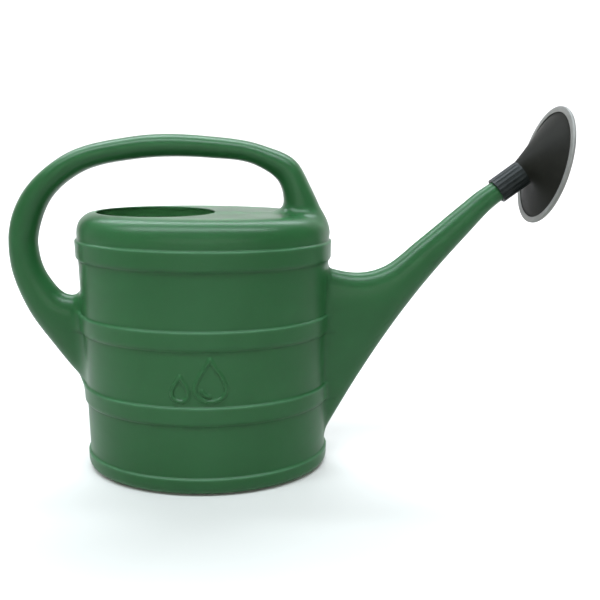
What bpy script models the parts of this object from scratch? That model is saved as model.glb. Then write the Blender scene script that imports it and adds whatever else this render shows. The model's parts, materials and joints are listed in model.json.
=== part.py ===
"""A 12 litre blow-moulded watering can with a push-on rose. Metres, +Z up, +X towards the spout.

The origin is on the ground, halfway along the whole length. Dimensions below are measured from the middle
of the oval vessel, and finish() moves them there. The can is one hollow moulding: vessel, deck, handle and
spout share a wall. The rose has a rubber sleeve, a moulded cone and a pressed sieve plate.
"""

import math

import bmesh
import bpy
import numpy as np
from mathutils import Matrix, Vector

MM = 0.001
SHARP_ANGLE = math.radians(30.0)

# --- Driving dimensions, in millimetres ---------------------------------------------------------
ORIGIN_X = 86.56  # the middle of the whole length, from the middle of the vessel
HALF_LENGTH = 140.0  # of the oval vessel, along X
HALF_DEPTH = 91.0  # of the oval vessel, along Y
WALL = 1.5  # of the moulding
DECK_HEIGHT = 299.2
SHOULDER_START = 273.0  # where the wall begins to turn in towards the deck
SHOULDER_WIDTH = 27.0
SHOULDER_FULLNESS = 2.5  # superellipse exponent of the shoulder's section
BAND_TOPS = (105.0, 188.0, 271.0)  # upper edges of the three raised hoops
BAND_HEIGHT = 23.5
BAND_PROUD = 2.7
BASE_BAND_TOP = 22.0
BASE_RADIUS = 10.0  # of the rounded bottom corner
FOOT_INSET = 8.0  # from the oval to the outer edge of the flat foot ring
FOOT_WIDTH = 14.0
RECESS_RISE = 4.0  # how far the middle of the base is pushed up
RECESS_SLOPE = 6.0  # width of the recess's sloping edge
BAND_UNDERCUT = 2.0  # height of the step under each hoop
BAND_BEVEL = 3.0  # height of the slope above each hoop
FILL_CENTRE_X = -53.0  # the filling opening in the deck
FILL_HALF_LENGTH = 65.0
FILL_HALF_DEPTH = 52.0
FILL_CUT = 10.0  # how far the opening's cutter reaches above and below the deck

TIP_ANGLE = math.radians(37.5)  # of the spout's tip above the horizontal
TIP_SEAT = (326.7, 325.6)  # X, Z where the sleeve's mouth meets the spout's axis
TIP_RADIUS = 12.0  # of the spout at the sleeve's mouth
TIP_END_RADIUS = 11.6
TIP_LENGTH = 16.0  # of spout inside the sleeve
TIP_LEAD = 14.0  # of straight spout before the sleeve
TIP_FLARE = 0.7  # how much wider the spout is where its straight tip begins

GAP = 0.3  # between pieces that touch in the real object
SLEEVE_RADIUS = 14.8
SLEEVE_LENGTH = 33.0
SLEEVE_CORNER = (0.9, 1.2)  # how far in, and how far along, the sleeve's end corners are cut
RIB_EVERY = 3  # points of the sleeve's circle from one lengthwise grip rib to the next
RIB_PROUD = 0.7

FACE_ANGLE = math.radians(-9.6)  # of the rose's face above the horizontal
FACE_CENTRE = (378.3, 354.9)  # X, Z of the middle of the rose's rim
RIM_RADIUS = 64.4
RIM_DEPTH = 3.4  # of the folded rim, front to back
RIM_LIP = 6.4  # width of the lip that is folded behind the cone
SHEET = 0.8  # of the sieve plate
CONE_WALL = 1.6
CONE_RADIUS = 14.4  # at its small end, which the sleeve butts against
CONE_LEAD = 3.0  # how far the cone runs on along the sleeve's axis before it opens out
CONE_FLOOR = 2.0  # from the cone's small end to the start of its hollow
CONE_STEPS = 8
NECK_RADIUS = 11.6  # of the cone's neck, inside the sleeve
NECK_START = 18.0  # along the sleeve, from its mouth
DOME_RISE = 4.5  # of the perforated face
DOME_STEPS = 4
HOLE_RINGS = 6
HOLE_PITCH = 7.8
HOLE_RADIUS = 0.9
PUNCH_LENGTH = 12.0

VESSEL_SEGMENTS = 56
SHOULDER_STEPS = 6
FILL_SEGMENTS = 40
HANDLE_SEGMENTS = 16
HANDLE_RINGS = 34
SPOUT_SEGMENTS = 24
SPOUT_RINGS = 14
ROSE_SEGMENTS = 54

# The moulding's handle and spout, each as stations of (one edge X, Z), (other edge X, Z), half depth.
# Both start and end inside the vessel, so that they open into it.
HANDLE_STATIONS = (
    ((-127, 86), (-120, 216), 20.5),
    ((-148, 106.5), (-138, 206.5), 20.0),
    ((-176, 144.5), (-160, 205), 18.5),
    ((-202, 187), (-178.5, 227.5), 17.3),
    ((-217, 239), (-185.3, 253), 17.0),
    ((-217, 266), (-185.3, 266), 17.0),
    ((-199, 316), (-169.5, 308), 16.5),
    ((-151.5, 358.6), (-133, 339.8), 15.5),
    ((-78, 379.3), (-74, 355.2), 15.0),
    ((5, 381.2), (5, 357.8), 15.0),
    ((66, 372), (58, 350.3), 15.5),
    ((101.5, 356), (82.5, 333), 17.0),
    ((118, 329), (88, 312), 19.5),
    ((131, 300), (83, 298), 22.0),
    ((133, 283), (70, 283), 23.0),
)
SPOUT_STATIONS = (
    ((120, 243), (128, 16), 21.0),
    ((140, 237.5), (140, 36), 21.0),
    ((160, 232.8), (156, 66), 21.0),
    ((182, 232.3), (176, 103), 20.5),
    ((203, 238.6), (198, 140.5), 19.5),
    ((243, 271), (243, 208.5), 17.0),
    ((290, 312.2), (296, 275.5), 14.5),
)


# --- Small tools --------------------------------------------------------------------------------
def clear_scene():
    for obj in list(bpy.data.objects):
        bpy.data.objects.remove(obj)


def material(name, colour, roughness, metallic=0.0):
    made = bpy.data.materials.new(name)
    made.use_nodes = True
    surface = made.node_tree.nodes["Principled BSDF"]
    surface.inputs["Base Color"].default_value = (*colour, 1.0)
    surface.inputs["Roughness"].default_value = roughness
    surface.inputs["Metallic"].default_value = metallic
    return made


def new_object(name, bm, surface=None):
    mesh = bpy.data.meshes.new(name)
    bmesh.ops.recalc_face_normals(bm, faces=bm.faces)
    bm.to_mesh(mesh)
    bm.free()
    obj = bpy.data.objects.new(name, mesh)
    bpy.context.scene.collection.objects.link(obj)
    if surface:
        mesh.materials.append(surface)
        shade(mesh)
    return obj


def shade(mesh):
    mesh.shade_smooth()
    mesh.set_sharp_from_angle(angle=SHARP_ANGLE)


def loft(rings, closed_path=False):
    """A closed bmesh through rings of equal length: capped at both ends, or joined end to end."""
    bm = bmesh.new()
    rows = [[bm.verts.new(Vector(point) * MM) for point in ring] for ring in rings]
    pairs = list(zip(rows, rows[1:]))
    if closed_path:
        pairs.append((rows[-1], rows[0]))
    else:
        bm.faces.new(rows[0])
        bm.faces.new(reversed(rows[-1]))
    for low, high in pairs:
        for i in range(len(low)):
            j = (i + 1) % len(low)
            bm.faces.new((low[i], low[j], high[j], high[i]))
    return bm


def boolean(obj, operation, *others):
    """Applies a Boolean of each other object to obj, and removes the others."""
    for other in others:
        modifier = obj.modifiers.new(operation, "BOOLEAN")
        modifier.operation = operation
        modifier.object = other
    graph = bpy.context.evaluated_depsgraph_get()
    made = bpy.data.meshes.new_from_object(obj.evaluated_get(graph))
    obj.modifiers.clear()
    obj.data = made
    for other in others:
        bpy.data.objects.remove(other)
    return obj


def through(points, count):
    """count points on a smooth curve through the given points, of any dimension, spaced by chord."""
    points = np.array(points, float)
    steps = np.linalg.norm(np.diff(points, axis=0), axis=1)
    at = np.concatenate([[0.0], np.cumsum(steps)])
    slopes = np.gradient(points, at, axis=0)
    made = []
    for t in np.linspace(0.0, at[-1], count):
        i = min(int(np.searchsorted(at, t, side="right")) - 1, len(steps) - 1)
        span = at[i + 1] - at[i]
        u = (t - at[i]) / span
        made.append(
            points[i] * (1 + 2 * u) * (1 - u) ** 2
            + points[i + 1] * (3 - 2 * u) * u**2
            + slopes[i] * span * u * (1 - u) ** 2
            - slopes[i + 1] * span * u**2 * (1 - u)
        )
    return np.array(made)


# --- The can: one moulding ----------------------------------------------------------------------
def oval(outset, z):
    """A ring of the vessel, outset from its nominal oval."""
    turns = [2 * math.pi * i / VESSEL_SEGMENTS for i in range(VESSEL_SEGMENTS)]
    return [((HALF_LENGTH + outset) * math.cos(t), (HALF_DEPTH + outset) * math.sin(t), z) for t in turns]


def shoulder():
    """(outset, z) from the wall's top to the deck's edge."""
    rise = DECK_HEIGHT - SHOULDER_START
    made = []
    for i in range(1, SHOULDER_STEPS + 1):
        t = math.sin(math.pi / 2 * i / SHOULDER_STEPS)
        reach = (1 - t**SHOULDER_FULLNESS) ** (1 / SHOULDER_FULLNESS)
        made.append((-SHOULDER_WIDTH * (1 - reach), SHOULDER_START + rise * t))
    return made


def outer_profile():
    """(outset, z) up the outside of the vessel, from the foot ring to the deck."""
    foot_inner = -(FOOT_INSET + FOOT_WIDTH)
    made = [(foot_inner - RECESS_SLOPE, RECESS_RISE), (foot_inner, 0.0), (-FOOT_INSET, 0.0)]
    reach = FOOT_INSET + BAND_PROUD
    for turn in np.radians((30, 60, 90)):
        made.append((-FOOT_INSET + reach * math.sin(turn), BASE_RADIUS * (1 - math.cos(turn))))
    made += [(BAND_PROUD, BASE_BAND_TOP - BAND_BEVEL), (0.0, BASE_BAND_TOP)]
    for top in BAND_TOPS:
        bottom = top - BAND_HEIGHT
        made += [(0.0, bottom), (BAND_PROUD * 0.8, bottom + BAND_UNDERCUT)]
        made += [(BAND_PROUD, top - BAND_BEVEL), (0.0, top)]
    return made + [(0.0, SHOULDER_START)] + shoulder()


def inner_profile():
    """The same wall from inside, plain behind the hoops."""
    low = RECESS_RISE + WALL
    made = [(-FOOT_INSET - WALL, low), (-WALL, low + BASE_RADIUS), (-WALL, SHOULDER_START)]
    return made + [(outset - WALL, z - WALL) for outset, z in shoulder()]


def section(first, second, half_depth, segments, fullness):
    """A rounded section whose edges are at first and second, two points of the XZ plane."""
    middle, reach = (first + second) / 2, (first - second) / 2
    ring = []
    for i in range(segments):
        t = 2 * math.pi * i / segments
        along = math.copysign(abs(math.cos(t)) ** (2 / fullness), math.cos(t))
        across = math.copysign(abs(math.sin(t)) ** (2 / fullness), math.sin(t))
        at = middle + reach * along
        ring.append((at[0], half_depth * across, at[1]))
    return ring


def fullness_of(height, depth):
    """The superellipse exponent of a limb's section: round where it is slim, and fuller where it is tall."""
    return 2.0 + 0.6 * float(np.clip((height / depth - 2.6) / 3.0, 0.0, 1.0))


def swept(stations, count, segments, inset, extra=()):
    """A loft through stations of two edges and a half depth, drawn in by inset all round."""
    rows = through([(*first, *second, depth) for first, second, depth in stations], count)
    rings = []
    for row in list(rows) + list(extra):
        first, second, depth = np.array(row[0:2]), np.array(row[2:4]), row[4]
        height = np.linalg.norm(first - second)
        step = (first - second) / height * inset
        fullness = fullness_of(height, depth)
        rings.append(section(first - step, second + step, depth - inset, segments, fullness))
    return loft(rings)


def tip_point(along, across):
    """X, Z of a point of the spout's tip: along its axis from the sleeve's mouth, and above it."""
    c, s = math.cos(TIP_ANGLE), math.sin(TIP_ANGLE)
    return (TIP_SEAT[0] + along * c - across * s, TIP_SEAT[1] + along * s + across * c)


def tip_stations(length):
    """Round stations of the spout's straight tip, which ends at length inside the sleeve."""
    reaches = ((-TIP_LEAD, TIP_RADIUS + TIP_FLARE), (0.0, TIP_RADIUS), (length, TIP_END_RADIUS))
    return [(*tip_point(along, r), *tip_point(along, -r), r) for along, r in reaches]


def moulding(name, profile, inset, tip_length, surface=None):
    """Vessel, handle and spout as one solid: the outside, or the hollow that is inset from it."""
    made = new_object(name, loft([oval(*level) for level in profile]), surface)
    handle = swept(HANDLE_STATIONS, HANDLE_RINGS, HANDLE_SEGMENTS, inset)
    spout = swept(SPOUT_STATIONS, SPOUT_RINGS, SPOUT_SEGMENTS, inset, tip_stations(tip_length))
    return boolean(made, "UNION", new_object("handle", handle), new_object("spout", spout))


def filling_opening():
    """The oval cutter of the opening in the deck."""
    turns = np.linspace(0.0, 2 * math.pi, FILL_SEGMENTS, endpoint=False)
    x = FILL_CENTRE_X + FILL_HALF_LENGTH * np.cos(turns)
    y = FILL_HALF_DEPTH * np.sin(turns)
    levels = (DECK_HEIGHT - FILL_CUT, DECK_HEIGHT + FILL_CUT)
    return new_object("filling_opening", loft([[(a, b, z) for a, b in zip(x, y)] for z in levels]))


def can_body(surface):
    outside = moulding("can_body", outer_profile(), 0.0, TIP_LENGTH, surface)
    hollow = moulding("hollow", inner_profile(), WALL, TIP_LENGTH + 2 * WALL)
    boolean(outside, "DIFFERENCE", hollow, filling_opening())
    shade(outside.data)
    return outside


# --- The rose -----------------------------------------------------------------------------------
def tip_frame():
    """The sleeve's frame: its mouth at the origin, Z along the spout's tip, outwards."""
    turn = Matrix.Rotation(math.pi / 2 - TIP_ANGLE, 4, "Y")
    return Matrix.Translation(Vector((TIP_SEAT[0], 0.0, TIP_SEAT[1])) * MM) @ turn


def face_frame():
    """The sieve plate's frame: the rim's middle at the origin, Z out of the rose's face."""
    turn = Matrix.Rotation(math.pi / 2 - FACE_ANGLE, 4, "Y")
    return Matrix.Translation(Vector((FACE_CENTRE[0], 0.0, FACE_CENTRE[1])) * MM) @ turn


def circle(radius, z):
    turns = [2 * math.pi * i / ROSE_SEGMENTS for i in range(ROSE_SEGMENTS)]
    return [(radius * math.cos(t), radius * math.sin(t), z) for t in turns]


def placed_circle(frame, radius, z):
    """A circle of the given frame, in the part's own frame."""
    return [(frame @ (Vector(point) * MM)) / MM for point in circle(radius, z)]


def ribbed(radius, z):
    """A circle of the sleeve with its grip ribs, and a groove between each two."""
    ring = []
    for i, (x, y, z) in enumerate(circle(1.0, z)):
        r = radius - (RIB_PROUD if i % RIB_EVERY == 0 else 0.0)
        ring.append((r * x, r * y, z))
    return ring


def rose_sleeve(surface):
    """A rubber tube, ribbed lengthwise, that grips the spout's tip and the cone's neck."""
    bore = TIP_RADIUS + GAP
    inwards, along = SLEEVE_CORNER
    rings = [
        circle(bore, 0.0),
        circle(SLEEVE_RADIUS - inwards, 0.0),
        ribbed(SLEEVE_RADIUS, along),
        ribbed(SLEEVE_RADIUS, SLEEVE_LENGTH - along),
        circle(SLEEVE_RADIUS - inwards, SLEEVE_LENGTH),
        circle(bore, SLEEVE_LENGTH),
    ]
    obj = new_object("rose_sleeve", loft(rings, closed_path=True), surface)
    obj.matrix_world = tip_frame()
    return obj


def flare(start_radius, start_at, rim_radius, rim_at):
    """Rings that leave the sleeve's axis and open out to the rim, which is set at an angle to it."""
    tip, face = tip_frame(), face_frame()
    starts = placed_circle(tip, start_radius, start_at)
    bends = placed_circle(tip, start_radius, start_at + CONE_LEAD)
    ends = placed_circle(face, rim_radius, rim_at)
    rings = []
    for i in range(CONE_STEPS + 1):
        h = i / CONE_STEPS
        rings.append([a.lerp(b, h).lerp(b.lerp(c, h), h) for a, b, c in zip(starts, bends, ends)])
    return rings


def rose_cone(surface):
    """A neck inside the sleeve, and a cone that opens out to a flange for the sieve plate's edge."""
    tip, face = tip_frame(), face_frame()
    small_end = SLEEVE_LENGTH + GAP
    edge_radius = RIM_RADIUS - RIM_LIP - 2 * GAP
    flange_radius = RIM_RADIUS - SHEET - GAP
    flange_half = RIM_DEPTH / 2 - SHEET - GAP
    hollow_radius = CONE_RADIUS - CONE_WALL

    rings = [placed_circle(tip, NECK_RADIUS, NECK_START), placed_circle(tip, NECK_RADIUS, small_end)]
    rings += flare(CONE_RADIUS, small_end, edge_radius, -flange_half)
    rings += [placed_circle(face, flange_radius, at) for at in (-flange_half, flange_half)]
    rings += flare(hollow_radius, small_end + CONE_FLOOR, edge_radius - CONE_WALL, flange_half)[::-1]
    bore = NECK_RADIUS - CONE_WALL
    rings += [placed_circle(tip, bore, small_end + CONE_FLOOR), placed_circle(tip, bore, NECK_START)]
    bm = loft(rings, closed_path=True)
    bm.transform(tip.inverted())
    obj = new_object("rose_cone", bm, surface)
    obj.matrix_world = tip
    return obj


def sieve_profile():
    """(radius, z) from the front of the dome, round the folded edge, to the back of the dome."""
    front, back = RIM_DEPTH / 2, -RIM_DEPTH / 2
    lip, inner = RIM_RADIUS - RIM_LIP, RIM_RADIUS - SHEET
    corner = SHEET / 2
    dome = []
    for i in range(1, DOME_STEPS + 1):
        share = i / DOME_STEPS
        dome.append((HOLE_PITCH * (HOLE_RINGS + 0.75) * share, front + DOME_RISE * (1 - share**2)))
    made = dome + [(RIM_RADIUS - corner, front), (RIM_RADIUS, front - corner)]
    made += [(RIM_RADIUS, back + corner), (RIM_RADIUS - corner, back), (lip, back)]
    made += [(lip, back + SHEET), (inner, back + SHEET), (inner, front - SHEET)]
    return made + [(r, z - SHEET) for r, z in reversed(dome)]


def sieve_holes():
    """Punches for one hole in the middle and rings of six, twelve, eighteen and so on round it."""
    spots = [(0.0, 0.0)]
    for number in range(1, HOLE_RINGS + 1):
        spots += [(number * HOLE_PITCH, 2 * math.pi * i / (6 * number)) for i in range(6 * number)]
    bm = bmesh.new()
    for radius, turn in spots:
        at = Vector((radius * math.cos(turn), radius * math.sin(turn), (RIM_DEPTH + DOME_RISE) / 2)) * MM
        bmesh.ops.create_cone(
            bm,
            cap_ends=True,
            segments=6,
            radius1=HOLE_RADIUS * MM,
            radius2=HOLE_RADIUS * MM,
            depth=PUNCH_LENGTH * MM,
            matrix=Matrix.Translation(at),
        )
    return new_object("sieve_holes", bm)


def rose_plate(surface):
    """A pressed sheet, domed and perforated, whose edge is folded round the cone's flange."""
    plate = new_object("rose_plate", loft([circle(*level) for level in sieve_profile()]), surface)
    boolean(plate, "DIFFERENCE", sieve_holes())
    shade(plate.data)
    plate.matrix_world = face_frame()
    return plate


def finish(pieces, cone, plate):
    """Moves the pieces to the part's origin, and hangs the plate on the cone, whose origin is on its axis."""
    for piece in pieces:
        piece.matrix_world = Matrix.Translation((-ORIGIN_X * MM, 0.0, 0.0)) @ piece.matrix_world
    plate.parent = cone
    plate.matrix_parent_inverse = cone.matrix_world.inverted()


def main():
    clear_scene()
    green = material("green_plastic", (0.035, 0.135, 0.055), 0.35)
    black_rubber = material("black_rubber", (0.018, 0.020, 0.022), 0.5)
    black_plastic = material("black_plastic", (0.022, 0.023, 0.020), 0.45)
    sheet = material("aluminium_sheet", (0.42, 0.43, 0.41), 0.45, 0.6)
    can = can_body(green)
    sleeve = rose_sleeve(black_rubber)
    cone = rose_cone(black_plastic)
    plate = rose_plate(sheet)
    finish((can, sleeve, cone, plate), cone, plate)


main()
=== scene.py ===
"""The looks of a 12 litre blow-moulded watering can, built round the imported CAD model.

The can is drawn as one smooth field, the nearest thing to a blow mould: an oval vessel with hoops, a
handle and a spout, blended where they meet. The field's zero level is its outside, and a level inside it
is its hollow. Its lengths are millimetres from the middle of the vessel's base, with +X towards the spout.
The rose is drawn in the frame of its own axis, which is the CAD model's joint axis.
"""

import json
import math

import bmesh
import bpy
import numpy as np
from mathutils import Matrix, Vector

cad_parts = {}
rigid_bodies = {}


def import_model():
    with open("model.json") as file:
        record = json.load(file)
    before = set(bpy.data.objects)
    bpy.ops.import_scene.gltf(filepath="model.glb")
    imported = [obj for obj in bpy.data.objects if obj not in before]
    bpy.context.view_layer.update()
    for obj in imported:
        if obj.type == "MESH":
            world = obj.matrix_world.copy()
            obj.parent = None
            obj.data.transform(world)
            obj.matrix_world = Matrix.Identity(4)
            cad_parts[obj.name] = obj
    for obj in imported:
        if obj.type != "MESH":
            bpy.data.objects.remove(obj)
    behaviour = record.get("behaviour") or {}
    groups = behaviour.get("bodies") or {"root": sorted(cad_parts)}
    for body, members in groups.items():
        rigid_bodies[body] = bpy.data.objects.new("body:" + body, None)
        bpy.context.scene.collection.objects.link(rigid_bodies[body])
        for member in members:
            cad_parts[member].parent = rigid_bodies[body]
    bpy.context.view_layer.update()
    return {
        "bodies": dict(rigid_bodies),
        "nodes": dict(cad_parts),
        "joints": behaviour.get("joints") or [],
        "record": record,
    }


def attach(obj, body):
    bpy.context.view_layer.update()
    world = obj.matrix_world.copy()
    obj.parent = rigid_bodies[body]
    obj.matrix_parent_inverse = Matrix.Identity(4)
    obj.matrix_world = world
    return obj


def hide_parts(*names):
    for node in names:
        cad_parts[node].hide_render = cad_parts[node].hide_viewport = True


MM = 0.001

# --- The vessel, in millimetres -----------------------------------------------------------------
HALF_LENGTH = 140.0
HALF_DEPTH = 91.0
WALL = 1.5
DECK_HEIGHT = 299.2
SHOULDER_START = 273.0
SHOULDER_WIDTH = 27.0
SHOULDER_FULLNESS = 2.5
BAND_TOPS = (105.0, 188.0, 271.0)
BAND_HEIGHT = 23.5
BAND_PROUD = 2.6
BAND_STEP = 4.4  # height of the soft step at the bottom of each hoop
LEDGE_RADIUS = 1.7  # of the rolled upper edge of each hoop
LEDGE_HEIGHT = 2.6
BASE_BAND_TOP = 22.0
BASE_RADIUS = 10.0
FOOT_INSET = 8.0
FOOT_WIDTH = 14.0
RECESS_RISE = 4.0
RECESS_SLOPE = 7.0
RECESS_ROUND = 0.4
FILL_CENTRE_X = -53.0
FILL_HALF_LENGTH = 65.0
FILL_HALF_DEPTH = 52.0
FILL_EDGE = ((0.0, -1.0), (0.1, -0.6), (0.35, -0.25), (0.75, -0.02), (1.6, 0.3))  # its roll: (out, rise)
RELIEF_CENTRE = (1.0, 135.0)
RELIEF_HEIGHT = 1.9
RELIEF_REACH = (45.0, 32.0)  # nothing of the mark is farther than this from its centre
RELIEF_FINE = (33.0, 26.0)  # the grid is finer this far from its centre
LINE_HALF_WIDTH = 2.5
LINE_SLOPE = 1.5
PARTING_RIDGE = 0.2
PARTING_WIDTH = 0.45
PINCH_RIDGE = 1.1  # the weld under the base, where the mould pinched the plastic off
PINCH_WIDTH = 1.1
PINCH_HALF_LENGTH = 95.0
SKIN = 0.35  # the limbs stay this far inside the CAD solids, so that the parting line fits

# --- Handle and spout: (one edge X, Z), (other edge X, Z), half depth ---------------------------
HANDLE_STATIONS = (
    ((-127, 86), (-120, 216), 20.5),
    ((-148, 106.5), (-138, 206.5), 20.0),
    ((-176, 144.5), (-160, 205), 18.5),
    ((-202, 187), (-178.5, 227.5), 17.3),
    ((-217, 239), (-185.3, 253), 17.0),
    ((-217, 266), (-185.3, 266), 17.0),
    ((-199, 316), (-169.5, 308), 16.5),
    ((-151.5, 358.6), (-133, 339.8), 15.5),
    ((-78, 379.3), (-74, 355.2), 15.0),
    ((5, 381.2), (5, 357.8), 15.0),
    ((66, 372), (58, 350.3), 15.5),
    ((101.5, 356), (82.5, 333), 17.0),
    ((118, 329), (88, 312), 19.5),
    ((131, 300), (83, 298), 22.0),
    ((133, 283), (70, 283), 23.0),
)
SPOUT_STATIONS = (
    ((120, 243), (128, 16), 21.0),
    ((140, 237.5), (140, 36), 21.0),
    ((160, 232.8), (156, 66), 21.0),
    ((182, 232.3), (176, 103), 20.5),
    ((203, 238.6), (198, 140.5), 19.5),
    ((243, 271), (243, 208.5), 17.0),
    ((290, 312.2), (296, 275.5), 14.5),
)
TIP_RADIUS = 12.0
TIP_END_RADIUS = 11.6
TIP_LENGTH = 16.0
TIP_LEAD = 14.0
TIP_FLARE = 0.7
HANDLE_BLEND = 13.0
SPOUT_BLEND = 5.0
CREASE_WIDTH = 2.6  # of the painted shade where a limb meets the vessel
OVAL = 2.0  # the superellipse exponent of a limb's section
FULL_OVAL = 2.6  # the same where a limb is several times taller than deep

# --- The rose, in millimetres -------------------------------------------------------------------
SLEEVE_RADIUS = 14.8
SLEEVE_BORE = 12.3
SLEEVE_LENGTH = 33.0
SLEEVE_LIP = 0.8  # round at its mouth
SLEEVE_END = ((0.05, 32.5), (0.25, 34.3), (0.7, 35.8), (1.4, 36.7))  # (drop in radius, z) over the cone
SLEEVE_RIBS = 18
RIB_PROUD = 0.7
FACE_ANGLE = math.radians(-9.6)
FACE_CENTRE = (378.3, 354.9)
RIM_RADIUS = 64.4
RIM_DEPTH = 3.4
RIM_LIP = 6.4
LIP_ROUND = 0.3
RIM_FOLD = 1.2  # radius of the folded edge
RIM_FLAT = 4.5
WELL_DEPTH = 0.25  # of the ring between the dome and the rim
WELL_SLOPE = 1.5
DOME_SLOPE = 1.2  # across the step at the dome's edge
SHEET = 0.8
GAP = 0.3  # between pieces that touch in the real object
CONE_WALL = 1.6
CONE_RADIUS = 14.4
CONE_BEVEL = 0.5
CONE_LEAD = 3.0
CONE_FLOOR = 2.0
NECK_RADIUS = 11.6
NECK_START = 18.0
NECK_BEVEL = 0.4
DOME_RISE = 4.5
HOLE_RINGS = 6
HOLE_PITCH = 7.8
HOLE_RADIUS = 0.9
PIN_LENGTH = 12.0

# --- The studio, in metres ----------------------------------------------------------------------
FLOOR_RADIUS = 3.0
FLOOR_BEND = 1.5
FLOOR_TOP = 5.0
CAMERA_PLACE = (0.0814, -0.716, 0.381)  # from the middle of the vessel's base
CAMERA_TURN = (75.71, -0.85, -1.93)  # degrees
LENS = 38.3  # millimetres

# --- Mesh resolution, in millimetres ------------------------------------------------------------
GRID_STEP = 3.0
HOLLOW_STEP = 3.4
FINE_STEP = 0.6
RELIEF_STEP = 1.2
PARTING_LEVELS = (0.2, 0.6, 1.1, 1.8)  # of the grid, beside the parting line
X_RANGE = (-226.0, 358.0)
Y_REACH = HALF_DEPTH + 8
Z_TOP = 390.0


# --- Curves and sections ------------------------------------------------------------------------
def through(points, count):
    """count points on a smooth curve through the given points, of any dimension, spaced by chord."""
    points = np.array(points, float)
    steps = np.linalg.norm(np.diff(points, axis=0), axis=1)
    at = np.concatenate([[0.0], np.cumsum(steps)])
    slopes = np.gradient(points, at, axis=0)
    made = []
    for t in np.linspace(0.0, at[-1], count):
        i = min(int(np.searchsorted(at, t, side="right")) - 1, len(steps) - 1)
        span = at[i + 1] - at[i]
        u = (t - at[i]) / span
        made.append(
            points[i] * (1 + 2 * u) * (1 - u) ** 2
            + points[i + 1] * (3 - 2 * u) * u**2
            + slopes[i] * span * u * (1 - u) ** 2
            - slopes[i + 1] * span * u**2 * (1 - u)
        )
    return np.array(made)


class Edge:
    """One edge of a swept limb: a curve in the XZ plane, with the limb's half depth along it."""

    def __init__(self, points, depths):
        self.points = points
        self.depths = depths
        tangent = np.gradient(points, axis=0)
        speed = np.linalg.norm(tangent, axis=1, keepdims=True)
        self.tangent = tangent / speed
        self.normal = np.stack([-self.tangent[:, 1], self.tangent[:, 0]], axis=1)
        turn = np.gradient(self.tangent, axis=0) / speed
        self.curvature = (turn * self.normal).sum(axis=1)

    def measure(self, x, z):
        """(signed distance to the left, half depth, distance past the nearer end) of each point."""
        found = np.empty(len(x), int)
        for start in range(0, len(x), 20000):
            part = slice(start, start + 20000)
            gap = (x[part, None] - self.points[None, :, 0]) ** 2
            gap += (z[part, None] - self.points[None, :, 1]) ** 2
            found[part] = gap.argmin(axis=1)
        offset = np.stack([x, z], axis=1) - self.points[found]
        along = (offset * self.tangent[found]).sum(axis=1)
        left = (offset * self.normal[found]).sum(axis=1)
        bend = self.curvature[found]
        root = np.sqrt((1 - bend * left) ** 2 + (bend * along) ** 2)
        distance = (2 * left - bend * (along**2 + left**2)) / (1 + root)
        past = np.where(found == 0, -along, np.where(found == len(self.points) - 1, along, -1e3))
        return distance, self.depths[found], past


def smooth_min(a, b, blend):
    """The union of two fields with a fillet of about the blend's size."""
    h = np.maximum(blend - np.abs(a - b), 0.0) / blend
    return np.minimum(a, b) - h * h * blend / 4


def smooth_max(a, b, blend):
    return -smooth_min(-a, -b, blend)


class Limb:
    """A swept limb of rounded sections between two edges, such as the handle."""

    def __init__(self, stations, count, tip=()):
        rows = [(*first, *second, depth) for first, second, depth in stations]
        rows = through(rows + list(tip), count)
        self.first = Edge(rows[:, 0:2], rows[:, 4])
        self.second = Edge(rows[:, 2:4], rows[:, 4])

    def plane(self, x, z):
        """What field takes of X and Z: half height, height above the middle, half depth, past the ends."""
        one, one_depth, one_past = self.first.measure(x, z)
        two, two_depth, two_past = self.second.measure(x, z)
        below, above = -one, two
        half = np.maximum((below + above) / 2, 1.0)
        return half, (above - below) / 2, (one_depth + two_depth) / 2, np.maximum(one_past, two_past)

    @staticmethod
    def field(half, up, depth, past, y):
        """Distance from the limb's surface, negative inside."""
        tallness = np.clip((2 * half / depth - 2.6) / 3.0, 0.0, 1.0)
        fullness = OVAL + (FULL_OVAL - OVAL) * tallness
        a = np.maximum(np.abs(up) / half, 1e-4)
        b = np.maximum(np.abs(y) / depth, 1e-4)
        total = a**fullness + b**fullness
        reach = total ** (1 / fullness)
        slope = np.hypot(a ** (fullness - 1) / half, b ** (fullness - 1) / depth) * reach ** (1 - fullness)
        section = (reach - 1) / np.maximum(slope, 0.6 / np.maximum(half, depth))
        return smooth_max(section + SKIN, past, 1.5)


# --- The vessel's field -------------------------------------------------------------------------
def inset_of(x, y):
    """How far each point is outside the nominal oval: rings of equal value are ovals of equal inset."""
    s = np.maximum(np.maximum(np.abs(x) - HALF_LENGTH, np.abs(y) - HALF_DEPTH), 1.0 - HALF_DEPTH)
    for _ in range(9):
        a, b = HALF_LENGTH + s, HALF_DEPTH + s
        value = (x / a) ** 2 + (y / b) ** 2 - 1
        slope = -2 * (x**2 / a**3 + y**2 / b**3)
        s = np.maximum(s - value / np.minimum(slope, -1e-6), 1.0 - HALF_DEPTH)
    return s


def arc(centre, radius, start, end, count):
    """Points of an arc in the profile's plane, angles in degrees."""
    turns = np.radians(np.linspace(start, end, count))
    return [(centre[0] + radius * math.cos(t), centre[1] + radius * math.sin(t)) for t in turns]


def hoop(bottom, top):
    """The outline of one hoop: a soft step out at the bottom, and a rolled ledge at the top."""
    start = bottom - 0.6
    points = [(0.0, start - 0.2)]
    for i in range(9):
        t = i / 8
        points.append((BAND_PROUD * (3 - 2 * t) * t * t, start + BAND_STEP * t))
    return points + ledge(top)


def ledge(top):
    """The upper edge of a hoop or of the base: a rolled corner, a short slope and a hollow corner."""
    out = arc((BAND_PROUD - LEDGE_RADIUS, top - LEDGE_HEIGHT), LEDGE_RADIUS, 0, 62, 6)
    return out + [(0.45, top - 0.55), (0.15, top - 0.2), (0.0, top + 0.3)]


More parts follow.
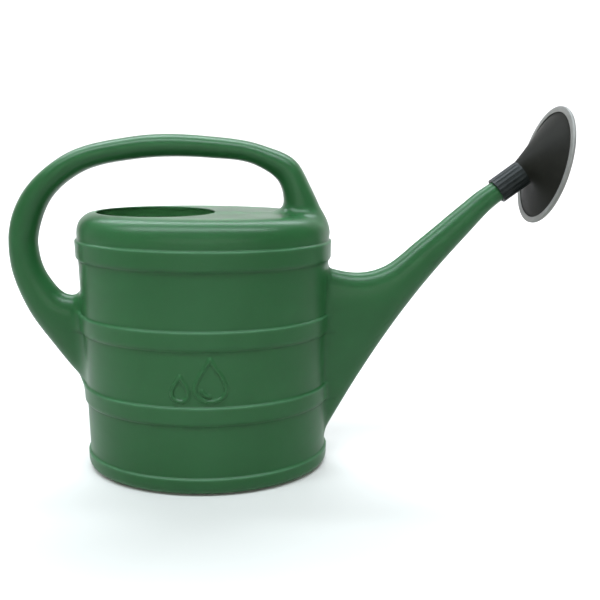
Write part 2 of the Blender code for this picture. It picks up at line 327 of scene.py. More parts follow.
def vessel_profile():
    """(inset, z) up the outside of the vessel, from the middle of the base to the middle of the deck."""
    past_middle = -HALF_DEPTH - 20
    foot_inner = -(FOOT_INSET + FOOT_WIDTH)
    recess = foot_inner - RECESS_SLOPE
    points = [(past_middle, RECESS_RISE), (recess, RECESS_RISE), (recess + 1.5, RECESS_RISE - RECESS_ROUND)]
    points += [(foot_inner - 1.0, RECESS_ROUND), (foot_inner + 0.6, 0.0)]
    reach = FOOT_INSET + BAND_PROUD
    for i in range(9):
        t = math.pi / 2 * i / 8
        points.append((-FOOT_INSET + reach * math.sin(t), BASE_RADIUS * (1 - math.cos(t))))
    points += ledge(BASE_BAND_TOP)
    for top in BAND_TOPS:
        points += hoop(top - BAND_HEIGHT, top)
    rise = DECK_HEIGHT - SHOULDER_START
    for i in range(25):
        t = math.sin(math.pi / 2 * i / 24)
        width = (1 - t**SHOULDER_FULLNESS) ** (1 / SHOULDER_FULLNESS) if t < 1 else 0.0
        points.append((-SHOULDER_WIDTH * (1 - width), SHOULDER_START + rise * t))
    points.append((past_middle, DECK_HEIGHT))
    return np.array(points)


class Profile:
    """Signed distance to the vessel's outline, tabled over (inset, z)."""

    STEP = 0.25
    LOW = (-96.0, -12.0)
    HIGH = (20.0, 320.0)

    def __init__(self, outline):
        self.s = np.arange(self.LOW[0], self.HIGH[0], self.STEP)
        self.z = np.arange(self.LOW[1], self.HIGH[1], self.STEP)
        s, z = np.meshgrid(self.s, self.z, indexing="ij")
        best = np.full(s.shape, 1e9)
        crossings = np.zeros(s.shape, int)
        for (s0, z0), (s1, z1) in zip(outline, outline[1:]):
            ds, dz = s1 - s0, z1 - z0
            t = np.clip(((s - s0) * ds + (z - z0) * dz) / (ds * ds + dz * dz), 0, 1)
            best = np.minimum(best, (s - s0 - t * ds) ** 2 + (z - z0 - t * dz) ** 2)
            spans = (z0 <= z) != (z1 <= z)
            cut = s0 + (z - z0) / (dz if dz else 1.0) * ds
            crossings += spans & (s < cut)
        self.table = np.where(crossings % 2 == 1, -1.0, 1.0) * np.sqrt(best)

    def __call__(self, s, z):
        u = np.clip((s - self.s[0]) / self.STEP, 0, len(self.s) - 1.001)
        v = np.clip((z - self.z[0]) / self.STEP, 0, len(self.z) - 1.001)
        i, j = u.astype(int), v.astype(int)
        u, v = u - i, v - j
        low = self.table[i, j] * (1 - u) + self.table[i + 1, j] * u
        high = self.table[i, j + 1] * (1 - u) + self.table[i + 1, j + 1] * u
        return low * (1 - v) + high * v


def drop_outline(centre_x, base_z, width, height):
    """A falling drop: round below, drawn to a point above."""
    t = np.linspace(0, 2 * math.pi, 90)
    x = centre_x + width / 2 * 1.3 * np.sin(t) * np.sin(t / 2) ** 1.6
    return np.stack([x, base_z + height / 2 * (1 + np.cos(t))], axis=1)


def relief_lines():
    """The raised mark on the wall: a large drop, a small one beside it, and a glint in the large one."""
    x, z = RELIEF_CENTRE
    large = drop_outline(x + 12.0, z - 24.0, 36.0, 47.0)
    small = drop_outline(x - 20.0, z - 24.0, 20.0, 28.0)
    turns = np.radians(np.linspace(200, 262, 14))
    glint = np.stack([x + 12.0 + 9.5 * np.cos(turns), z - 9.0 + 9.5 * np.sin(turns)], axis=1)
    return [large, small, glint]


def relief(x, z):
    """How far the wall stands out at the raised mark."""
    near = np.full(len(x), 1e9)
    for line in relief_lines():
        for (x0, z0), (x1, z1) in zip(line, line[1:]):
            dx, dz = x1 - x0, z1 - z0
            t = np.clip(((x - x0) * dx + (z - z0) * dz) / (dx * dx + dz * dz + 1e-9), 0, 1)
            near = np.minimum(near, (x - x0 - t * dx) ** 2 + (z - z0 - t * dz) ** 2)
    t = np.clip((LINE_HALF_WIDTH - np.sqrt(near)) / LINE_SLOPE, 0, 1)
    return RELIEF_HEIGHT * t * t * (3 - 2 * t)


# --- The whole can ------------------------------------------------------------------------------
class Can:
    """The field of the whole can, in millimetres from the middle of the vessel's base."""

    def __init__(self, vessel_x, tip_frame):
        self.vessel_x = vessel_x
        self.tip_frame = tip_frame
        self.profile = Profile(vessel_profile())
        self.handle = Limb(HANDLE_STATIONS, 240)
        reaches = ((-TIP_LEAD, TIP_RADIUS + TIP_FLARE), (0.0, TIP_RADIUS), (TIP_LENGTH, TIP_END_RADIUS))
        tip = [(*self.tip_point(at, r), *self.tip_point(at, -r), r) for at, r in reaches]
        self.spout = Limb(SPOUT_STATIONS, 160, tip)

    def tip_point(self, along, across):
        """X, Z of a point of the spout's tip: along its axis from the sleeve's mouth, and above it."""
        place = self.tip_frame @ (Vector((-across, 0.0, along)) * MM)
        return (place.x - self.vessel_x) / MM, place.z / MM

    def to_row(self, points):
        """The row frame's metres for points of the field."""
        return np.asarray(points) * MM + np.array([self.vessel_x, 0.0, 0.0])

    def from_row(self, points):
        return (np.asarray(points) - np.array([self.vessel_x, 0.0, 0.0])) / MM

    def body(self, x, y, z, handle, spout):
        """The field without its fine detail, given the limbs' plane values."""
        made = self.profile(inset_of(x, y), z)
        made = smooth_min(made, Limb.field(*handle, y), HANDLE_BLEND)
        return smooth_min(made, Limb.field(*spout, y), SPOUT_BLEND)

    @staticmethod
    def detail(x, y, z):
        """What the mould adds to the outside: the raised mark, the parting line and the base's weld."""
        off_ground = np.clip((z - 6.0) / 4, 0, 1)
        ridge = PARTING_RIDGE * np.exp(-((y / PARTING_WIDTH) ** 2)) * off_ground
        under_base = np.clip((PINCH_HALF_LENGTH - np.abs(x)) / 4, 0, 1) * np.clip((8.0 - z) / 2, 0, 1)
        ridge = ridge + PINCH_RIDGE * under_base * np.exp(-((y / PINCH_WIDTH) ** 2))
        wall = (np.abs(y) > HALF_DEPTH * 0.8) & (np.abs(x - RELIEF_CENTRE[0]) < RELIEF_REACH[0])
        wall &= np.abs(z - RELIEF_CENTRE[1]) < RELIEF_REACH[1]
        mark = np.zeros(len(x))
        mark[wall] = relief(x[wall], z[wall])
        return ridge + mark

    def at(self, points, detailed):
        x, y, z = points.T
        made = self.body(x, y, z, self.handle.plane(x, z), self.spout.plane(x, z))
        return made - self.detail(x, y, z) if detailed else made

    def on_grid(self, xs, ys, zs, detailed):
        """The field on a grid whose ys are mirrored: only their positive half is worked out."""
        x, z = (v.ravel() for v in np.meshgrid(xs, zs, indexing="ij"))
        handle, spout = self.handle.plane(x, z), self.spout.plane(x, z)
        layers = []
        for y in ys[ys > 0]:
            flat = np.full(len(x), y)
            layer = self.body(x, flat, z, handle, spout)
            layer -= self.detail(x, flat, z) if detailed else 0.0
            layers.append(layer.reshape(len(xs), len(zs)))
        half = np.stack(layers, axis=1)
        return np.concatenate([half[:, ::-1], half], axis=1)


# --- From a field to a mesh ---------------------------------------------------------------------
def levels(low, high, step, fine=()):
    """Grid levels from low to high, with (from, to, step) stretches of finer ones."""
    made = list(np.arange(low, high + step, step))
    for start, end, small in fine:
        made = [v for v in made if not start - small * 0.6 < v < end + small * 0.6]
        made += list(np.arange(start, end + small / 2, small))
    return np.array(sorted(made))


def surface_net(field, grids, level):
    """Vertices and quads of the field's surface at a level: one vertex in each cell that it crosses."""
    inside = field < level
    shape = [n - 1 for n in field.shape]
    total = np.zeros((int(np.prod(shape)), 3))
    count = np.zeros(len(total))
    quads = []
    for axis in range(3):
        step = [0, 0, 0]
        step[axis] = 1
        low = tuple(slice(0, n - s) for n, s in zip(field.shape, step))
        high = tuple(slice(s, n) for n, s in zip(field.shape, step))
        at = np.argwhere(inside[low] != inside[high])
        there = at + step
        f0, f1 = field[tuple(at.T)], field[tuple(there.T)]
        share = (level - f0) / (f1 - f0)
        point = np.stack([grids[k][at[:, k]] for k in range(3)], axis=1)
        point[:, axis] += share * (grids[axis][there[:, axis]] - grids[axis][at[:, axis]])
        across = [k for k in range(3) if k != axis]
        ring = []
        for back in ((0, 0), (1, 0), (1, 1), (0, 1)):
            cell = at.copy()
            cell[:, across[0]] -= back[0]
            cell[:, across[1]] -= back[1]
            index = np.ravel_multi_index(cell.T, shape)
            for k in range(3):
                total[:, k] += np.bincount(index, point[:, k], len(total))
            count += np.bincount(index, minlength=len(total))
            ring.append(index)
        quad = np.stack(ring, axis=1)
        flip = inside[tuple(at.T)] == (axis == 1)
        quad[flip] = quad[flip][:, ::-1]
        quads.append(quad)
    used = np.flatnonzero(count)
    places = np.full(len(total), -1)
    places[used] = np.arange(len(used))
    return total[used] / count[used, None], places[np.concatenate(quads)]


def settle(points, can, level, detailed, rounds=3):
    """Moves the points along the field's slope onto the level."""
    nudge = 0.2
    for _ in range(rounds):
        value = can.at(points, detailed)
        slope = np.empty_like(points)
        for k in range(3):
            moved = points.copy()
            moved[:, k] += nudge
            slope[:, k] = (can.at(moved, detailed) - value) / nudge
        size = np.maximum((slope**2).sum(axis=1), 0.2)
        step = slope * ((level - value) / size)[:, None]
        points = points + np.clip(step, -1.2, 1.2)
    return points


def mesh_object(name, points, faces, surface):
    mesh = bpy.data.meshes.new(name)
    mesh.from_pydata([tuple(p) for p in points], [], [tuple(int(i) for i in f) for f in faces])
    mesh.update()
    if surface:
        mesh.materials.append(surface)
    obj = bpy.data.objects.new(name, mesh)
    bpy.context.scene.collection.objects.link(obj)
    return obj


def solid_from_field(name, can, grids, level, detailed, surface=None):
    """A closed object on the can's field, in metres in the row frame."""
    field = can.on_grid(*grids, detailed)
    points, quads = surface_net(field, grids, level)
    points = settle(points, can, level, detailed)
    return mesh_object(name, can.to_row(points), quads, surface)


def loft(rings, closed_path=False):
    """Points and faces of a surface through rings of equal length, capped or joined end to end."""
    count, size = len(rings), len(rings[0])
    points = [point for ring in rings for point in ring]
    faces = []
    for k in range(count if closed_path else count - 1):
        low, high = k * size, (k + 1) % count * size
        for i in range(size):
            j = (i + 1) % size
            faces.append((low + i, low + j, high + j, high + i))
    if not closed_path:
        faces.append(tuple(reversed(range(size))))
        faces.append(tuple(range((count - 1) * size, count * size)))
    return points, faces


def cut(obj, operation, *others):
    """Applies a Boolean of each other object to obj, and removes the others."""
    for other in others:
        modifier = obj.modifiers.new(operation, "BOOLEAN")
        modifier.operation = operation
        modifier.object = other
        modifier.solver = "MANIFOLD"
    graph = bpy.context.evaluated_depsgraph_get()
    made = bpy.data.meshes.new_from_object(obj.evaluated_get(graph))
    obj.modifiers.clear()
    obj.data = made
    for other in others:
        bpy.data.objects.remove(other)
    return obj


def shade(obj, angle):
    obj.data.shade_smooth()
    obj.data.set_sharp_from_angle(angle=math.radians(angle))


# --- Pieces: the can ----------------------------------------------------------------------------
def outside_grids():
    """Finer where the hoops, the raised mark and the parting line need it."""
    x, z = RELIEF_CENTRE
    tops = [BASE_BAND_TOP, *BAND_TOPS]
    edges = [(top - 3.0, top + 0.5, FINE_STEP) for top in tops]
    edges += [(top - BAND_HEIGHT - 0.5, top - BAND_HEIGHT + 3.0, FINE_STEP * 1.4) for top in BAND_TOPS]
    edges += [(z - RELIEF_FINE[1], z + RELIEF_FINE[1], RELIEF_STEP), (-0.9, 3.0, FINE_STEP)]
    half = np.concatenate([PARTING_LEVELS, np.arange(3.2, Y_REACH, GRID_STEP)])
    return (
        levels(*X_RANGE, GRID_STEP, [(x - RELIEF_FINE[0], x + RELIEF_FINE[0], RELIEF_STEP)]),
        np.concatenate([-half[::-1], half]),
        levels(-6.0, Z_TOP, GRID_STEP, edges),
    )


def inside_grids():
    """Plainer: the hollow has no fine detail."""
    half = np.arange(HOLLOW_STEP / 2, Y_REACH, HOLLOW_STEP)
    return (
        levels(*X_RANGE, HOLLOW_STEP),
        np.concatenate([-half[::-1], half]),
        levels(-4.0, Z_TOP, HOLLOW_STEP),
    )


def filling_plug(can):
    """What is cut out of the deck: an oval with a rolled upper edge."""
    below, above = -10.0, 12.0
    turns = np.linspace(0, 2 * math.pi, 180, endpoint=False)
    rings = []
    for out, rise in ((0.0, below), *FILL_EDGE, (FILL_EDGE[-1][0], above)):
        x = FILL_CENTRE_X + (FILL_HALF_LENGTH + out) * np.cos(turns)
        y = (FILL_HALF_DEPTH + out) * np.sin(turns)
        rings.append(np.stack([x, y, np.full(len(turns), DECK_HEIGHT + rise)], axis=1))
    points, faces = loft([can.to_row(ring) for ring in rings])
    return mesh_object("filling_plug", points, faces, None)


def spout_bore(can):
    """Opens the hollow at the spout's end."""
    radius = TIP_END_RADIUS - WALL - 0.1
    start, end = TIP_LENGTH - 8.0, TIP_LENGTH + 5.0
    turns = np.linspace(0, 2 * math.pi, 48, endpoint=False)
    rings = []
    for along in (start, end):
        ring = [(radius * math.cos(t), radius * math.sin(t), along) for t in turns]
        rings.append([tuple(can.tip_frame @ (Vector(point) * MM)) for point in ring])
    points, faces = loft(rings)
    return mesh_object("spout_bore", points, faces, None)


def set_values(mesh, name, values):
    mesh.attributes.new(name, "FLOAT", "POINT").data.foreach_set("value", values.astype(np.float32))


def mark_wear_and_shade(can, mesh):
    """Vertex values: wear, where handling rubs it pale, and painted shade, darker under the hoops and in
    the creases where the limbs meet the vessel.
    """
    co = np.empty(len(mesh.vertices) * 3)
    mesh.vertices.foreach_get("co", co)
    x, y, z = can.from_row(co.reshape(-1, 3)).T
    inset = inset_of(x, y)
    on_wall = np.abs(inset) < 12
    wear = 0.6 * np.exp(-((z / 4.0) ** 2)) * on_wall
    painted_shade = np.zeros(len(x))
    for top in (BASE_BAND_TOP, *BAND_TOPS):
        edge = ((inset - BAND_PROUD) / 1.1) ** 2 + ((z - top + 1.6) / 1.5) ** 2
        wear = np.maximum(wear, np.exp(-edge))
    # Painted shade: a soft dark line under each hoop, and along the creases where the handle and spout meet
    # the vessel.
    for top in BAND_TOPS:
        under = ((z - top + BAND_HEIGHT - 0.6) / 2.0) ** 2
        painted_shade = np.maximum(painted_shade, np.exp(-under) * on_wall)
    vessel = can.profile(inset, z)
    for limb in (can.handle, can.spout):
        beside = Limb.field(*limb.plane(x, z), y)
        painted_shade = np.maximum(painted_shade, np.exp(-(vessel**2 + beside**2) / CREASE_WIDTH**2))
    set_values(mesh, "wear", wear)
    set_values(mesh, "painted_shade", painted_shade)


def make_can(can, surface):
    outside = solid_from_field("watering_can", can, outside_grids(), 0.0, True, surface)
    hollow = solid_from_field("hollow", can, inside_grids(), -WALL, False)
    cut(outside, "DIFFERENCE", hollow, filling_plug(can), spout_bore(can))
    mark_wear_and_shade(can, outside.data)
    shade(outside, 38)
    return outside


# --- Pieces: the rose ---------------------------------------------------------------------------
def ring(radius, z, count):
    turns = np.linspace(0, 2 * math.pi, count, endpoint=False)
    return np.stack([radius * np.cos(turns), radius * np.sin(turns), np.full(count, z)], axis=1)


def turned(profile, count):
    """Rings of a turned shape through (radius, z)."""
    return [ring(radius, z, count) for radius, z in profile]


def placed_object(name, rings, frame, surface, closed_path=True):
    """An object through rings in millimetres of the given frame."""
    points, faces = loft(rings, closed_path)
    obj = mesh_object(name, np.array(points) * MM, faces, surface)
    obj.data.transform(frame)
    return obj


def make_sleeve(frame, surface):
    """A rubber tube with soft lengthwise ribs, rounded off where it meets the cone."""
    count = SLEEVE_RIBS * 12
    turns = np.linspace(0, 2 * math.pi, count, endpoint=False)
    groove = (0.5 - 0.5 * np.cos(SLEEVE_RIBS * turns)) ** 0.6
    lip = SLEEVE_LIP
    outline = arc((SLEEVE_RADIUS - lip, lip), lip, -90, 0, 6)
    outline += [(SLEEVE_RADIUS, z) for z in (2.0, 8.0, 16.0, 24.0, 30.0)]
    outline += [(SLEEVE_RADIUS - drop, z) for drop, z in SLEEVE_END]
    rings = [ring(SLEEVE_BORE, lip, count), ring(SLEEVE_BORE + lip * 0.3, lip * 0.3, count)]
    for radius, z in outline:
        starting = np.clip((z - 0.4) / 1.6, 0, 1)
        ending = np.clip((SLEEVE_LENGTH - z) / 5.0, 0, 1) ** 0.5
        radii = radius - RIB_PROUD * starting * ending * groove
        rings.append(np.stack([radii * np.cos(turns), radii * np.sin(turns), np.full(count, z)], axis=1))
    rings += [ring(SLEEVE_BORE, SLEEVE_LENGTH, count)]
    obj = placed_object("rose_sleeve_ribbed", rings, frame, surface)
    shade(obj, 40)
    return obj


def make_cone(tip_frame, face_frame, surface):
    """A neck inside the sleeve, and a cone that opens out to a tilted rim, flanged for the plate."""
    count = 144
    face = tip_frame.inverted() @ face_frame

    def on_face(radius, z):
        return np.array([(face @ (Vector(p) * MM)) / MM for p in ring(radius, z, count)])

    def flare(start_radius, start_z, rim_radius, rim_z, steps):
        start = ring(start_radius, start_z, count)
        bend = start + np.array([[0.0, 0.0, CONE_LEAD]])
        rim = on_face(rim_radius, rim_z)
        shares = [(i / steps) ** 1.3 for i in range(steps + 1)]
        return [start * (1 - h) ** 2 + bend * 2 * h * (1 - h) + rim * h * h for h in shares]

    small_end = SLEEVE_LENGTH + GAP
    edge = RIM_RADIUS - RIM_LIP - 2 * GAP
    flange = RIM_RADIUS - SHEET - GAP
    flange_half = RIM_DEPTH / 2 - SHEET - GAP
    bore = NECK_RADIUS - CONE_WALL
    rings = [ring(NECK_RADIUS - NECK_BEVEL, NECK_START, count)]
    rings += [ring(NECK_RADIUS, NECK_START + NECK_BEVEL, count), ring(NECK_RADIUS, small_end, count)]
    rings += [ring(CONE_RADIUS - CONE_BEVEL, small_end, count)]
    rings += flare(CONE_RADIUS, small_end + 0.05, edge, -flange_half, 32)[1:]
    rings += [on_face(flange, -flange_half), on_face(flange, flange_half)]
    floor = small_end + CONE_FLOOR
    rings += flare(CONE_RADIUS - CONE_WALL, floor, edge - CONE_WALL, flange_half, 16)[::-1]
    rings += [ring(bore, floor, count), ring(bore, NECK_START, count)]
    obj = placed_object("rose_trumpet", rings, tip_frame, surface)
    shade(obj, 40)
    return obj


def hole_punches():
    """Pins for the sieve's holes: one in the middle, and rings of six more each."""
    spots = [(0.0, 0.0)]
    for number in range(1, HOLE_RINGS + 1):
        spots += [(number * HOLE_PITCH, 2 * math.pi * i / (6 * number)) for i in range(6 * number)]
    pins = bmesh.new()
    for radius, turn in spots:
        at = Vector((radius * math.cos(turn), radius * math.sin(turn), (RIM_DEPTH + DOME_RISE) / 2)) * MM
        bmesh.ops.create_cone(
            pins,
            cap_ends=True,
            segments=14,
            radius1=HOLE_RADIUS * MM,
            radius2=HOLE_RADIUS * MM,
            depth=PIN_LENGTH * MM,
            matrix=Matrix.Translation(at),
        )
    mesh = bpy.data.meshes.new("sieve_holes")
    pins.to_mesh(mesh)
    pins.free()
    punches = bpy.data.objects.new("sieve_holes", mesh)
    bpy.context.scene.collection.objects.link(punches)
    return punches


def make_plate(face_frame, surface):
    """A thin domed sheet with rings of holes, whose edge is folded round the cone's flange."""
    count = 192
    front, back = RIM_DEPTH / 2, -RIM_DEPTH / 2
    dome_edge = HOLE_PITCH * (HOLE_RINGS + 0.75)
    dome = [(dome_edge * i / 12, DOME_RISE * (1 - (i / 12) ** 2)) for i in range(1, 13)]
    well = front - WELL_DEPTH
    flat = RIM_RADIUS - RIM_FLAT
    profile = [(r, front + rise) for r, rise in dome]
    profile += [(dome_edge + DOME_SLOPE, well), (flat - WELL_SLOPE, well), (flat, front)]
    profile += arc((RIM_RADIUS - RIM_FOLD, front - RIM_FOLD), RIM_FOLD, 90, 0, 7)
    profile += arc((RIM_RADIUS - RIM_FOLD, back + RIM_FOLD), RIM_FOLD, 0, -90, 7)
    profile += arc((RIM_RADIUS - RIM_LIP + LIP_ROUND, back + LIP_ROUND), LIP_ROUND, -90, -180, 4)
    profile += [(RIM_RADIUS - RIM_LIP, back + SHEET), (RIM_RADIUS - SHEET, back + SHEET)]
    profile += [(RIM_RADIUS - SHEET, front - SHEET)]
    profile += [(r, front + rise - SHEET) for r, rise in reversed(dome)]
    rings = turned(profile, count)[::-1]
    plate = placed_object("rose_sieve", rings, Matrix.Identity(4), surface, closed_path=False)
    cut(plate, "DIFFERENCE", hole_punches())
    plate.data.transform(face_frame)
    shade(plate, 35)
    return plate


# --- Materials ----------------------------------------------------------------------------------
class Surface:
    """A material being made: short names for its nodes and links."""

    def __init__(self, name, colour, roughness, **settings):
        self.material = bpy.data.materials.new(name)
        self.material.use_nodes = True
        self.tree = self.material.node_tree
        self.shader = self.tree.nodes["Principled BSDF"]
        self.shader.inputs["Base Color"].default_value = (*colour, 1.0)
        self.shader.inputs["Roughness"].default_value = roughness
        for key, value in settings.items():
            self.shader.inputs[key.replace("_", " ")].default_value = value
        self.place = self.add("ShaderNodeTexCoord").outputs["Object"]

    def lets_light_through(self, share, depth, tint):
        """A little of the light goes into the wall, and out of its other side."""
        self.shader.inputs["Subsurface Weight"].default_value = share
        self.shader.inputs["Subsurface Scale"].default_value = depth
        self.shader.inputs["Subsurface Radius"].default_value = tint

    def add(self, kind, **settings):
        node = self.tree.nodes.new(kind)
        for key, value in settings.items():
            setattr(node, key, value)
        return node

    def link(self, output, node, name):
        self.tree.links.new(output, node.inputs[name])

    def stretched(self, scale):
        """The place, scaled along each axis."""
        mapping = self.add("ShaderNodeMapping")
        mapping.inputs["Scale"].default_value = scale
        self.link(self.place, mapping, "Vector")
        return mapping.outputs["Vector"]

    def noise(self, scale, detail=2.0, rough=0.5, place=None, warp=0.0):
        node = self.add("ShaderNodeTexNoise")
        node.inputs["Scale"].default_value = scale
        node.inputs["Detail"].default_value = detail
        node.inputs["Roughness"].default_value = rough
        node.inputs["Distortion"].default_value = warp
        self.link(place or self.place, node, "Vector")
        return node.outputs["Fac"]

    def spread(self, value, low, high, to_low=0.0, to_high=1.0):
        """value's range from low to high, stretched to another range and clamped there."""
        node = self.add("ShaderNodeMapRange")
        self.link(value, node, "Value")
        for key, number in (("From Min", low), ("From Max", high), ("To Min", to_low), ("To Max", to_high)):
            node.inputs[key].default_value = number
        return node.outputs["Result"]

    def maths(self, operation, a, b):
        node = self.add("ShaderNodeMath", operation=operation)
        for i, value in enumerate((a, b)):
            if isinstance(value, (int, float)):
                node.inputs[i].default_value = value
            else:
                self.tree.links.new(value, node.inputs[i])
        return node.outputs[0]

    def blend(self, share, a, b):
        """From colour a to colour b; each is a colour or another node's output."""
        node = self.add("ShaderNodeMix", data_type="RGBA")
        self.tree.links.new(share, node.inputs[0])
        for i, value in ((6, a), (7, b)):
            if isinstance(value, tuple):
                node.inputs[i].default_value = (*value, 1.0)
            else:
                self.tree.links.new(value, node.inputs[i])
        return node.outputs[2]

    def bumps(self, *layers):
        """Bump from (height, depth in metres, strength) layers, one on another."""
        normal = None
        for height, depth, strength in layers:
            node = self.add("ShaderNodeBump")
            node.inputs["Distance"].default_value = depth
            node.inputs["Strength"].default_value = strength
            self.link(height, node, "Height")
            if normal:
                self.link(normal, node, "Normal")
            normal = node.outputs["Normal"]
        self.link(normal, self.shader, "Normal")

    def finish(self, colour, roughness):
        self.link(colour, self.shader, "Base Color")
        self.link(roughness, self.shader, "Roughness")
        return self.material


def green_plastic():
    """Moulded polyethylene: a satin skin with flow marks, a faint grain, rubbed edges, and painted shade
    under the hoops and in the creases.
    """
    m = Surface("green_plastic", (0.014, 0.0775, 0.0225), 0.35, IOR=1.5, Specular_IOR_Level=0.24)
    m.lets_light_through(0.5, 0.007, (1.0, 1.0, 0.9))
    cloud = m.noise(9.0, 3.0, 0.55)
    flow = m.noise(16.0, 2.0, 0.5, m.stretched((1.0, 1.0, 0.3)), 0.2)
    speck = m.noise(420.0, 2.0)
    colour = m.blend(m.spread(cloud, 0.3, 0.7), (0.0118, 0.071, 0.0192), (0.0162, 0.0835, 0.0258))
    colour = m.blend(m.spread(flow, 0.45, 0.8, 0.0, 0.2), colour, (0.022, 0.095, 0.035))
    colour = m.blend(m.spread(speck, 0.62, 0.76, 0.0, 0.2), colour, (0.032, 0.108, 0.046))
    wear = m.add("ShaderNodeAttribute", attribute_name="wear").outputs["Fac"]
    painted_shade = m.add("ShaderNodeAttribute", attribute_name="painted_shade").outputs["Fac"]
    patchy = m.spread(m.noise(50.0, 3.0, 0.6), 0.3, 0.7, 0.55, 1.0)
    rubbed, patchy_shade = m.maths("MULTIPLY", wear, patchy), m.maths("MULTIPLY", painted_shade, patchy)
    colour = m.blend(m.maths("MULTIPLY", rubbed, 0.6), colour, (0.060, 0.165, 0.085))
    # Painted shade: darker under the hoops and in the creases where the limbs meet the vessel.
    colour = m.blend(m.maths("MULTIPLY", patchy_shade, 0.38), colour, (0.010, 0.036, 0.014))
    scuff = m.spread(m.noise(60.0, 2.0, 0.5, m.stretched((1.0, 1.0, 6.0)), 0.3), 0.66, 0.80)
    roughness = m.spread(flow, 0.3, 0.7, 0.32, 0.38)
    for amount, share in ((rubbed, 0.08), (patchy_shade, 0.25), (scuff, 0.02)):
        roughness = m.maths("ADD", roughness, m.maths("MULTIPLY", amount, share))
    m.bumps(
        (m.noise(24.0, 2.0, 0.5, m.stretched((0.5, 1.0, 1.6))), 0.0009, 0.5),
        (m.noise(900.0, 2.0), 0.00004, 0.5),
    )
    return m.finish(colour, roughness)


def black_rubber():
    """Ribbed rubber with a faint pale dust."""
    m = Surface("black_rubber", (0.008, 0.0105, 0.0105), 0.42, IOR=1.5, Specular_IOR_Level=0.17)
    cloud = m.noise(60.0, 3.0)
    dust = m.spread(m.noise(330.0, 4.0, 0.7), 0.58, 0.72)
    colour = m.blend(m.spread(cloud, 0.3, 0.7), (0.0055, 0.0076, 0.0074), (0.0105, 0.0135, 0.0132))
    colour = m.blend(m.maths("MULTIPLY", dust, 0.2), colour, (0.03, 0.032, 0.032))
    roughness = m.maths("ADD", m.spread(cloud, 0.3, 0.7, 0.38, 0.48), m.maths("MULTIPLY", dust, 0.12))
    m.bumps((m.noise(1500.0, 2.0), 0.00004, 0.6), (m.noise(120.0, 2.0), 0.0002, 0.35))
    return m.finish(colour, roughness)


def black_plastic():
    """Moulded black plastic: a satin skin with a trace of brown dust."""
    m = Surface("black_plastic", (0.0097, 0.0098, 0.0078), 0.48, IOR=1.5, Specular_IOR_Level=0.055)
    cloud = m.noise(30.0, 3.0)
    dust = m.spread(m.noise(260.0, 5.0, 0.7), 0.56, 0.74)
    colour = m.blend(m.spread(cloud, 0.3, 0.7), (0.0077, 0.0078, 0.0062), (0.0118, 0.0118, 0.0095))
    colour = m.blend(m.maths("MULTIPLY", dust, 0.2), colour, (0.036, 0.034, 0.028))
    roughness = m.maths("ADD", m.spread(cloud, 0.3, 0.7, 0.46, 0.56), m.maths("MULTIPLY", dust, 0.15))
    m.bumps((m.noise(1100.0, 2.0), 0.00003, 0.5), (m.noise(45.0, 2.0), 0.0004, 0.3))
    return m.finish(colour, roughness)


def aluminium_sheet():
    """Dull rolled sheet: faint rolling lines, a bloom of oxide and small dark specks."""
    m = Surface("aluminium_sheet", (0.172, 0.171, 0.159), 0.55, Metallic=0.35)
    lines = m.noise(240.0, 3.0, 0.6, m.stretched((1.0, 14.0, 1.0)))
    bloom = m.noise(70.0, 5.0, 0.65)
    speck = m.spread(m.noise(700.0, 3.0, 0.7), 0.60, 0.70)
    colour = m.blend(m.spread(bloom, 0.3, 0.7), (0.143, 0.143, 0.133), (0.200, 0.199, 0.185))
    colour = m.blend(m.maths("MULTIPLY", speck, 0.35), colour, (0.12, 0.12, 0.11))
    roughness = m.maths("ADD", m.spread(bloom, 0.3, 0.7, 0.5, 0.62), m.maths("MULTIPLY", speck, 0.15))
    m.bumps((lines, 0.00003, 0.5), (m.noise(500.0, 3.0), 0.00004, 0.5))
    return m.finish(colour, roughness)


def floor_surface():
    m = Surface("studio_floor", (0.52, 0.515, 0.488), 0.6)
    cloud = m.noise(1.5, 2.0)
    colour = m.blend(m.spread(cloud, 0.3, 0.7), (0.515, 0.51, 0.483), (0.525, 0.52, 0.493))
    return m.finish(colour, m.spread(cloud, 0.3, 0.7, 0.6, 0.7))


# --- Stage, light and camera --------------------------------------------------------------------
def studio_floor():
    """A pale round floor that curves up far away on every side."""
    profile = [(FLOOR_RADIUS / 6, 0.0), (FLOOR_RADIUS / 2, 0.0)]
    profile += arc((FLOOR_RADIUS, FLOOR_BEND), FLOOR_BEND, -90, 0, 10)
    profile.append((FLOOR_RADIUS + FLOOR_BEND, FLOOR_TOP))
    points, faces = loft(turned(profile, 96))
    open_faces = faces[:-1]
    floor = mesh_object("studio_floor", points, open_faces, floor_surface())
    floor.data.flip_normals()
    floor.data.shade_smooth()


def area_light(name, place, aim, size, power, colour=(1.0, 1.0, 1.0)):
    light = bpy.data.lights.new(name, "AREA")
    light.shape = "RECTANGLE"
    light.size, light.size_y = size
    light.energy = power
    light.color = colour
    obj = bpy.data.objects.new(name, light)
    bpy.context.scene.collection.objects.link(obj)
    obj.location = place
    obj.rotation_euler = (Vector(aim) - Vector(place)).to_track_quat("-Z", "Y").to_euler()
    return obj


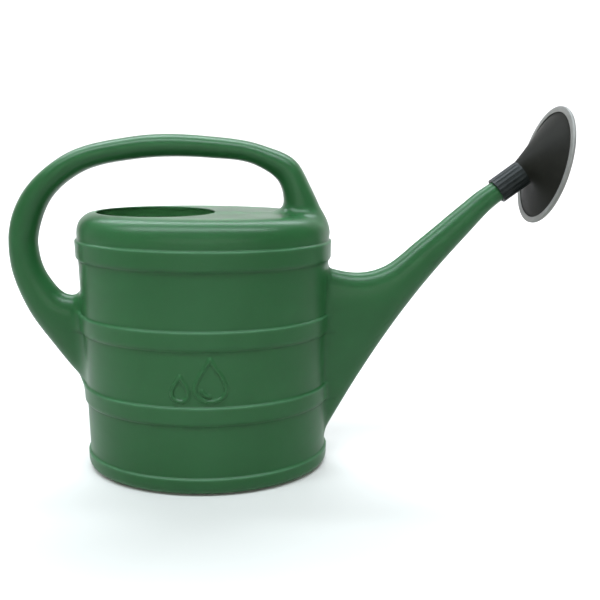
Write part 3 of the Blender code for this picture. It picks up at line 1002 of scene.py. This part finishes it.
def studio_light():
    """Two long strips for the streaks along the shoulder, a broad soft front light and a lit backdrop."""
    cool = (0.9, 1.0, 1.08)
    area_light("strip_behind", (-0.4, 1.07, 2.2), (-0.4, 0.0, 0.25), (3.6, 0.28), 62.0, cool)
    area_light("strip_before", (-0.5, -0.70, 2.15), (-0.5, 0.0, 0.25), (3.4, 0.36), 82.0, cool)
    area_light("backdrop_wash", (0.3, 1.2, 2.4), (0.3, 3.6, 0.6), (5.5, 1.0), 275.0, (1.0, 1.0, 1.1))
    area_light("sheen", (-0.2, -3.0, 0.9), (-0.2, 0.0, 0.27), (3.6, 0.9), 22.0)
    front = area_light("front", (-0.2, -3.0, 0.8), (-0.2, 0.0, 0.27), (3.6, 0.55), 9.0, (1.0, 1.0, 0.94))
    front.visible_glossy = False
    world = bpy.data.worlds.new("studio")
    bpy.context.scene.world = world
    world.use_nodes = True
    background = world.node_tree.nodes["Background"]
    background.inputs["Color"].default_value = (1.0, 1.0, 1.0, 1.0)
    background.inputs["Strength"].default_value = 0.36


def camera(vessel_x):
    """The photograph's view: level with the handle, looking a little down, close in."""
    lens = bpy.data.cameras.new("camera")
    lens.sensor_width = 36.0
    lens.lens = LENS
    lens.clip_start = 0.01
    obj = bpy.data.objects.new("camera", lens)
    bpy.context.scene.collection.objects.link(obj)
    obj.location = (vessel_x + CAMERA_PLACE[0], CAMERA_PLACE[1], CAMERA_PLACE[2])
    obj.rotation_euler = [math.radians(turn) for turn in CAMERA_TURN]
    bpy.context.scene.camera = obj


# --- Putting it together ------------------------------------------------------------------------
def joint_frame(joint):
    """The frame of a joint: its place at the origin, its axis along Z, and the can's width along Y."""
    axis = Vector(joint["axis"]).normalized()
    across = Vector((0.0, 1.0, 0.0))
    turn = Matrix((across.cross(axis), across, axis)).transposed().to_4x4()
    return Matrix.Translation(Vector(joint["pos_m"])) @ turn


def face_frame_of(vessel_x):
    """The frame of the rose's face: the rim's middle at the origin, Z out of the face."""
    turn = Matrix.Rotation(math.pi / 2 - FACE_ANGLE, 4, "Y")
    centre = Vector((vessel_x + FACE_CENTRE[0] * MM, 0.0, FACE_CENTRE[1] * MM))
    return Matrix.Translation(centre) @ turn


def vessel_centre(body):
    """X of the middle of the vessel's foot, which is all of the can that meets the ground."""
    foot = [v.co.x for v in body.data.vertices if v.co.z < 0.00001]
    return (min(foot) + max(foot)) / 2


def main():
    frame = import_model()
    turning = next(j for j in frame["joints"] if j["name"] == "rose_turn")
    tip_frame = joint_frame(turning)
    vessel_x = vessel_centre(frame["nodes"]["can_body"])
    face_frame = face_frame_of(vessel_x)

    can = Can(vessel_x, tip_frame)
    body = make_can(can, green_plastic())
    sleeve = make_sleeve(tip_frame, black_rubber())
    cone = make_cone(tip_frame, face_frame, black_plastic())
    plate = make_plate(face_frame, aluminium_sheet())
    for piece, node, cad_body, slot in (
        (body, "can_body", "can", "green_plastic"),
        (sleeve, "rose_sleeve", "sleeve", "black_rubber"),
        (cone, "rose_cone", "rose", "black_plastic"),
        (plate, "rose_plate", "rose", "aluminium_sheet"),
    ):
        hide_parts(node)
        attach(piece, cad_body)

    studio_floor()
    studio_light()
    camera(vessel_x)
    bpy.context.scene.view_settings.view_transform = "Standard"
    bpy.context.view_layer.update()


main()
